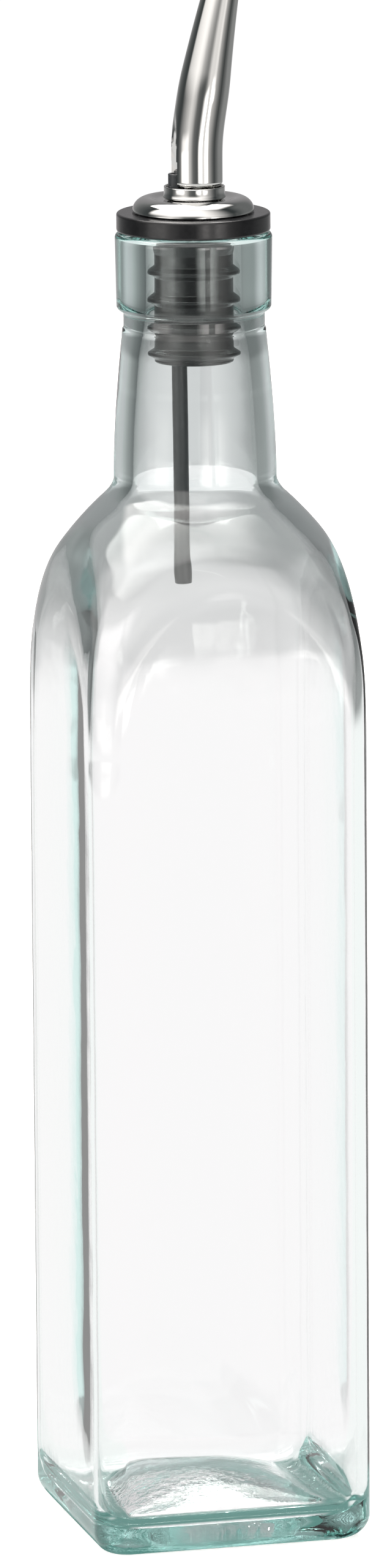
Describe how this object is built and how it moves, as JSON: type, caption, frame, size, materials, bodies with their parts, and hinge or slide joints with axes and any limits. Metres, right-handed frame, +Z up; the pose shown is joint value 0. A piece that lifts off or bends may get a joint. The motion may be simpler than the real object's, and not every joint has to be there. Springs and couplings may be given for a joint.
{
  "type": "oil and vinegar cruet",
  "caption": "Square glass oil and vinegar bottle with a round neck, a rubber stopper and a bent metal pouring spout with its own breather tube.",
  "frame": {"origin": "middle of the bottle's base, on the surface it stands on", "axes": "+Z up the bottle's axis; the flat faces look along X and Y; the spout pours towards +X and the breather tube is on its -X side"},
  "size_m": [0.0576, 0.0576, 0.3235],
  "materials": {
    "pale_green_glass": "clear, pale green, thick and slightly uneven",
    "black_rubber": "smooth, satin",
    "shank_steel": "plain drawn tube",
    "dome_chrome": "polished",
    "collar_chrome": "polished",
    "spout_steel": "polished stainless steel",
    "breather_grey": "dark grey, satin"
  },
  "bodies": {
    "bottle": {"glass_bottle": "pale_green_glass"},
    "stopper": {"rubber_stopper": "black_rubber"},
    "pourer": {"stopper_shank": "shank_steel", "dome_cap": "dome_chrome", "spout_collar": "collar_chrome", "pour_spout": "spout_steel", "breather_tube": "breather_grey"}
  },
  "joints": [
    {"name": "stopper_pull", "type": "slide", "parent": "bottle", "child": "stopper", "axis": [0, 0, 1], "range_m": [0, 0.09]},
    {"name": "spout_turn", "type": "hinge", "parent": "stopper", "child": "pourer", "pos_m": [0, 0, 0.2692], "axis": [0, 0, 1], "continuous": true}
  ]
}
